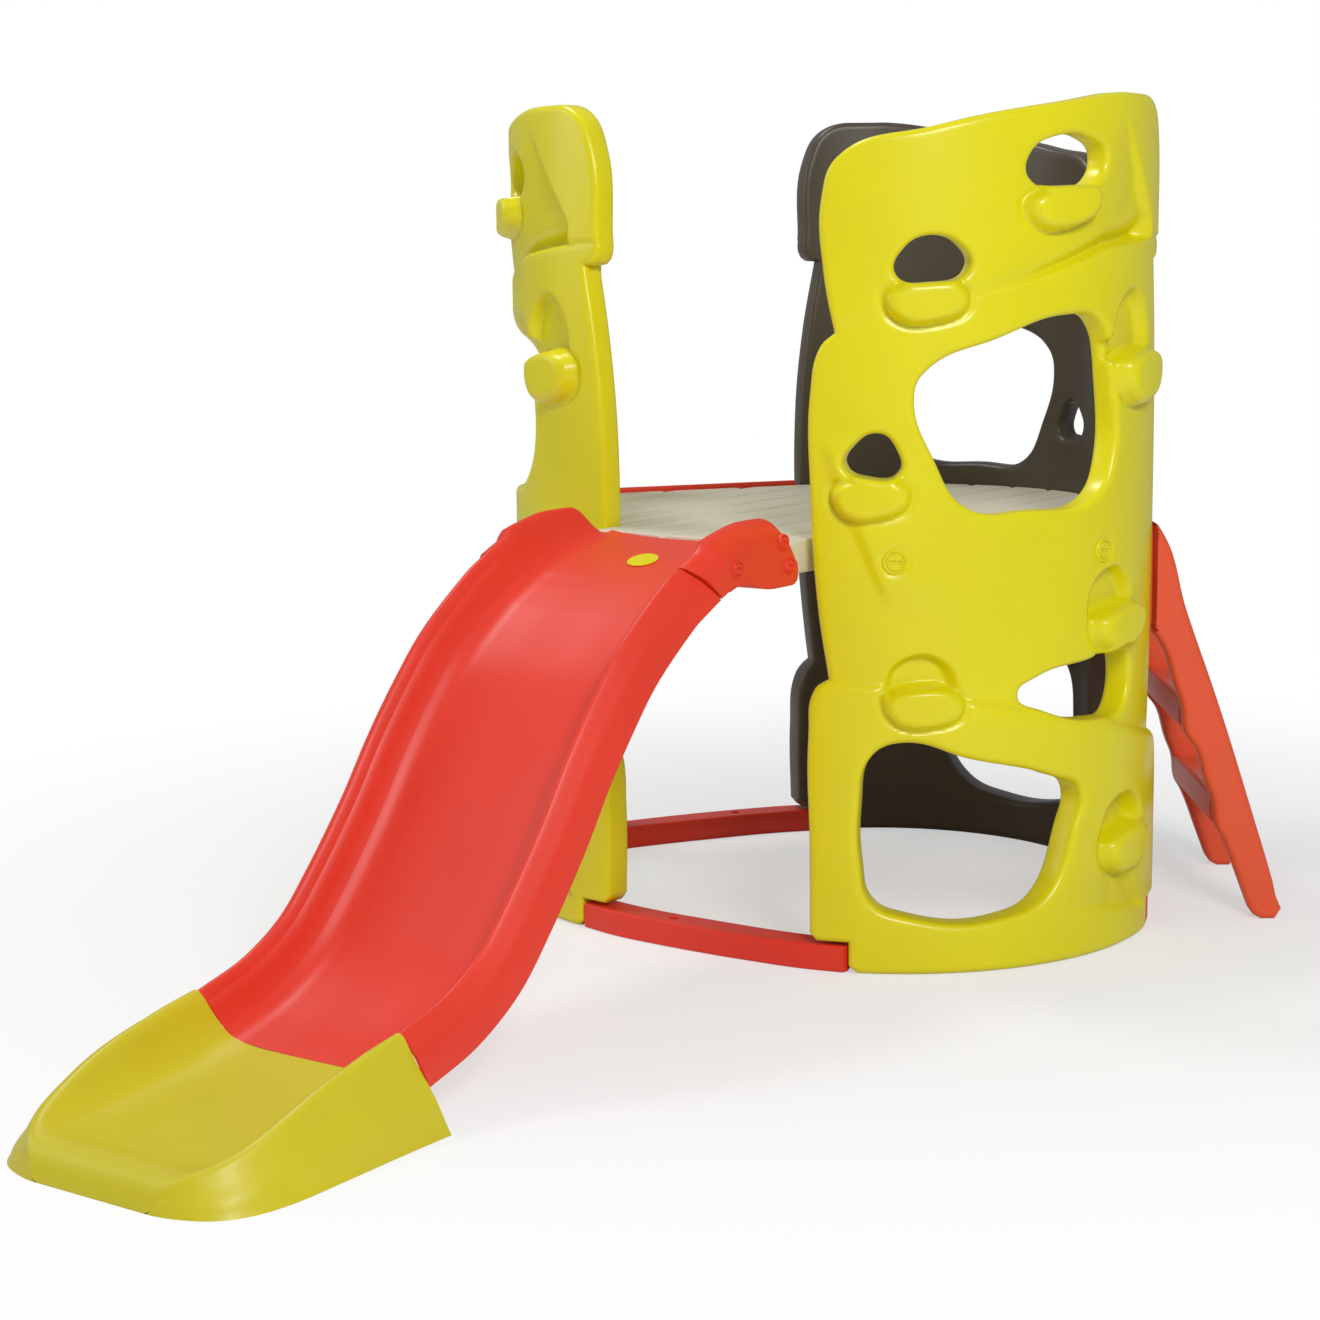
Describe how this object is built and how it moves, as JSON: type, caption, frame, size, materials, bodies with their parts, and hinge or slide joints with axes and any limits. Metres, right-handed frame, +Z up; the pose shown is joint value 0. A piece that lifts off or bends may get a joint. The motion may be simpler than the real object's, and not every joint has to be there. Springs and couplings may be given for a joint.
{
  "type": "climbing tower",
  "caption": "Moulded climbing tower: curved climbing walls with windows and hand grips round a raised platform, with a wavy slide and a ladder.",
  "frame": {"origin": "centre of the bounding box in plan, on the floor", "axes": "+X down the slide, along the longest extent; +Z up"},
  "size_m": [2.5433, 1.4442, 1.4394],
  "materials": {
    "lime_plastic": "satin",
    "dark_brown_plastic": "satin",
    "red_plastic": "satin",
    "sand_plastic": "matte",
    "orange_red_plastic": "satin",
    "grey_plastic": "matte"
  },
  "bodies": {
    "tower": {"bracket_screw_left_1": "red_plastic", "bracket_screw_left_2": "red_plastic", "bracket_screw_left_3": "red_plastic", "bracket_screw_right_1": "red_plastic", "bracket_screw_right_2": "red_plastic", "bracket_screw_right_3": "red_plastic", "foot_screw_left": "grey_plastic", "foot_screw_right": "grey_plastic", "front_climbing_wall": "lime_plastic", "hose_spigot": "grey_plastic", "ladder_beam_screw_a": "grey_plastic", "ladder_beam_screw_b": "grey_plastic", "ladder_bolt_front": "grey_plastic", "ladder_bolt_rear": "grey_plastic", "ladder_ground_beam": "red_plastic", "ladder_step_1": "orange_red_plastic", "ladder_step_2": "orange_red_plastic", "ladder_step_3": "orange_red_plastic", "ladder_stringer_front": "orange_red_plastic", "ladder_stringer_rear": "orange_red_plastic", "left_climbing_wall": "lime_plastic", "platform": "sand_plastic", "rear_beam_screw_a": "grey_plastic", "rear_beam_screw_b": "grey_plastic", "rear_climbing_wall": "dark_brown_plastic", "rear_edge_trim": "red_plastic", "rear_ground_beam": "red_plastic", "slide_beam_screw_a": "grey_plastic", "slide_beam_screw_b": "grey_plastic", "slide_bracket_left": "red_plastic", "slide_bracket_right": "red_plastic", "slide_chute": "red_plastic", "slide_foot": "lime_plastic", "slide_ground_beam": "red_plastic", "wall_bolt_front_a": "lime_plastic", "wall_bolt_front_b": "lime_plastic", "wall_bolt_left_a": "lime_plastic", "wall_bolt_left_b": "lime_plastic", "wall_bolt_rear_a": "dark_brown_plastic", "wall_bolt_rear_b": "dark_brown_plastic"},
    "outlet_plug": {"water_plug": "lime_plastic"}
  },
  "joints": [
    {"name": "plug_pull", "type": "slide", "parent": "tower", "child": "outlet_plug", "axis": [0.2556, 0, 0.9668], "range_m": [0, 0.02]}
  ]
}
